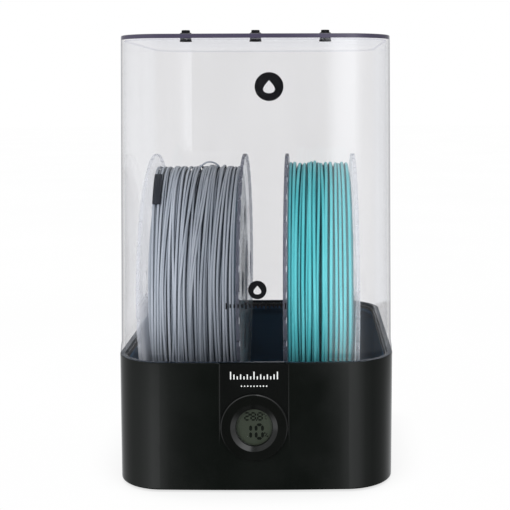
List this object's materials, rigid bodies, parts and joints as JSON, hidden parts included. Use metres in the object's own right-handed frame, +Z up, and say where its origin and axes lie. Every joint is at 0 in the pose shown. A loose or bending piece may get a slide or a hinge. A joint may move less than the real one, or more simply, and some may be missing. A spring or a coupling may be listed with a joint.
{
  "type": "filament dry box with spools",
  "caption": "Sealed dry box that feeds filament from spools turning on bearing rollers, with a clear lift-off cover, a humidity gauge in front and plugged outlets on top.",
  "frame": {"origin": "centre of the footprint, on the table", "axes": "+Z up, -Y out of the front with the gauge, +X to the right of someone facing the front"},
  "size_m": [0.2082, 0.2451, 0.3415],
  "materials": {
    "base_black": "satin black moulded plastic, fine texture, soft vertical sheen at the corners",
    "panel_gloss": "gloss black inlay",
    "gauge_black": "satin black turned ring",
    "housing_black": "matt black",
    "gauge_clear": "clear window",
    "display": "grey-green liquid crystal display with dark digits",
    "board_green": "green solder mask",
    "cell_steel": "bright steel coin cell",
    "foot_rubber": "matt black rubber",
    "seal_rubber": "soft dark seal",
    "cradle_plastic": "matt black moulded plastic",
    "bright_steel": "ground steel",
    "box_white": "off-white moulded plastic",
    "silica_paper": "white breathable paper bag",
    "cover_clear": "clear plastic with a faint lavender tint, purple where seen edge on",
    "outlet_rubber": "black rubber",
    "spool_clear": "clear moulded plastic",
    "filament_grey": "blue-grey filament, satin",
    "filament_teal": "teal filament, satin"
  },
  "bodies": {
    "base": {"base_tub": "base_black", "front_panel": "panel_gloss", "rim_seal": "seal_rubber", "rubber_foot_front_left": "foot_rubber", "rubber_foot_front_right": "foot_rubber", "rubber_foot_rear_left": "foot_rubber", "rubber_foot_rear_right": "foot_rubber", "roller_cradle": "cradle_plastic", "cradle_screw_front_left": "bright_steel", "cradle_screw_front_right": "bright_steel", "cradle_screw_rear_left": "bright_steel", "cradle_screw_rear_right": "bright_steel", "front_rod": "bright_steel", "rear_rod": "bright_steel", "inner_race_grey_front_left": "bright_steel", "inner_race_grey_front_right": "bright_steel", "inner_race_grey_rear_left": "bright_steel", "inner_race_grey_rear_right": "bright_steel", "inner_race_teal_front_left": "bright_steel", "inner_race_teal_front_right": "bright_steel", "inner_race_teal_rear_left": "bright_steel", "inner_race_teal_rear_right": "bright_steel", "desiccant_box_left": "box_white", "desiccant_lid_left": "box_white", "silica_bag_left": "silica_paper", "desiccant_box_right": "box_white", "desiccant_lid_right": "box_white", "silica_bag_right": "silica_paper"},
    "gauge": {"gauge_bezel": "gauge_black", "gauge_housing": "housing_black", "gauge_lens": "gauge_clear", "gauge_display": "display", "gauge_board": "board_green", "gauge_battery": "cell_steel"},
    "battery_door": {"battery_door": "housing_black"},
    "cover": {"cover_shell": "cover_clear", "outlet_bush_left": "outlet_rubber", "outlet_bush_middle": "outlet_rubber", "outlet_bush_right": "outlet_rubber"},
    "plug_left": {"outlet_plug_left": "outlet_rubber"},
    "plug_middle": {"outlet_plug_middle": "outlet_rubber"},
    "plug_right": {"outlet_plug_right": "outlet_rubber"},
    "grey_spool": {"grey_flange_left": "spool_clear", "grey_flange_right": "spool_clear", "grey_hub": "spool_clear", "grey_filament_winding": "filament_grey"},
    "teal_spool": {"teal_flange_left": "spool_clear", "teal_flange_right": "spool_clear", "teal_hub": "spool_clear", "teal_filament_winding": "filament_teal"},
    "roller_grey_front_left": {"roller_grey_front_left": "bright_steel"},
    "roller_grey_front_right": {"roller_grey_front_right": "bright_steel"},
    "roller_grey_rear_left": {"roller_grey_rear_left": "bright_steel"},
    "roller_grey_rear_right": {"roller_grey_rear_right": "bright_steel"},
    "roller_teal_front_left": {"roller_teal_front_left": "bright_steel"},
    "roller_teal_front_right": {"roller_teal_front_right": "bright_steel"},
    "roller_teal_rear_left": {"roller_teal_rear_left": "bright_steel"},
    "roller_teal_rear_right": {"roller_teal_rear_right": "bright_steel"}
  },
  "joints": [
    {"name": "cover_lift", "type": "slide", "parent": "base", "child": "cover", "axis": [0, 0, 1], "range_m": [0, 0.16]},
    {"name": "gauge_pull", "type": "slide", "parent": "base", "child": "gauge", "axis": [0, -0.9999, -0.0131], "range_m": [0, 0.03]},
    {"name": "battery_door_twist", "type": "hinge", "parent": "gauge", "child": "battery_door", "pos_m": [0, -0.12059, 0.0483], "axis": [0, -0.9999, -0.0131], "range_deg": [0, 45]},
    {"name": "plug_left_pull", "type": "slide", "parent": "cover", "child": "plug_left", "axis": [0, 0, 1], "range_m": [0, 0.012]},
    {"name": "plug_middle_pull", "type": "slide", "parent": "cover", "child": "plug_middle", "axis": [0, 0, 1], "range_m": [0, 0.012]},
    {"name": "plug_right_pull", "type": "slide", "parent": "cover", "child": "plug_right", "axis": [0, 0, 1], "range_m": [0, 0.012]},
    {"name": "grey_spool_spin", "type": "hinge", "parent": "base", "child": "grey_spool", "pos_m": [-0.051, 0, 0.1419], "axis": [1, 0, 0], "continuous": true},
    {"name": "teal_spool_spin", "type": "hinge", "parent": "base", "child": "teal_spool", "pos_m": [0.04985, 0, 0.1419], "axis": [1, 0, 0], "continuous": true},
    {"name": "roller_grey_front_left_spin", "type": "hinge", "parent": "base", "child": "roller_grey_front_left", "pos_m": [-0.0885, -0.045, 0.0401], "axis": [1, 0, 0], "continuous": true},
    {"name": "roller_grey_front_right_spin", "type": "hinge", "parent": "base", "child": "roller_grey_front_right", "pos_m": [-0.0135, -0.045, 0.0401], "axis": [1, 0, 0], "continuous": true},
    {"name": "roller_grey_rear_left_spin", "type": "hinge", "parent": "base", "child": "roller_grey_rear_left", "pos_m": [-0.0885, 0.045, 0.0401], "axis": [1, 0, 0], "continuous": true},
    {"name": "roller_grey_rear_right_spin", "type": "hinge", "parent": "base", "child": "roller_grey_rear_right", "pos_m": [-0.0135, 0.045, 0.0401], "axis": [1, 0, 0], "continuous": true},
    {"name": "roller_teal_front_left_spin", "type": "hinge", "parent": "base", "child": "roller_teal_front_left", "pos_m": [0.0222, -0.045, 0.0401], "axis": [1, 0, 0], "continuous": true},
    {"name": "roller_teal_front_right_spin", "type": "hinge", "parent": "base", "child": "roller_teal_front_right", "pos_m": [0.0775, -0.045, 0.0401], "axis": [1, 0, 0], "continuous": true},
    {"name": "roller_teal_rear_left_spin", "type": "hinge", "parent": "base", "child": "roller_teal_rear_left", "pos_m": [0.0222, 0.045, 0.0401], "axis": [1, 0, 0], "continuous": true},
    {"name": "roller_teal_rear_right_spin", "type": "hinge", "parent": "base", "child": "roller_teal_rear_right", "pos_m": [0.0775, 0.045, 0.0401], "axis": [1, 0, 0], "continuous": true}
  ],
  "couplings": [
    {"joint": "roller_grey_front_left_spin", "follows": "grey_spool_spin", "ratio": -9.0909},
    {"joint": "roller_grey_front_right_spin", "follows": "grey_spool_spin", "ratio": -9.0909},
    {"joint": "roller_grey_rear_left_spin", "follows": "grey_spool_spin", "ratio": -9.0909},
    {"joint": "roller_grey_rear_right_spin", "follows": "grey_spool_spin", "ratio": -9.0909},
    {"joint": "roller_teal_front_left_spin", "follows": "teal_spool_spin", "ratio": -9.0909},
    {"joint": "roller_teal_front_right_spin", "follows": "teal_spool_spin", "ratio": -9.0909},
    {"joint": "roller_teal_rear_left_spin", "follows": "teal_spool_spin", "ratio": -9.0909},
    {"joint": "roller_teal_rear_right_spin", "follows": "teal_spool_spin", "ratio": -9.0909}
  ]
}
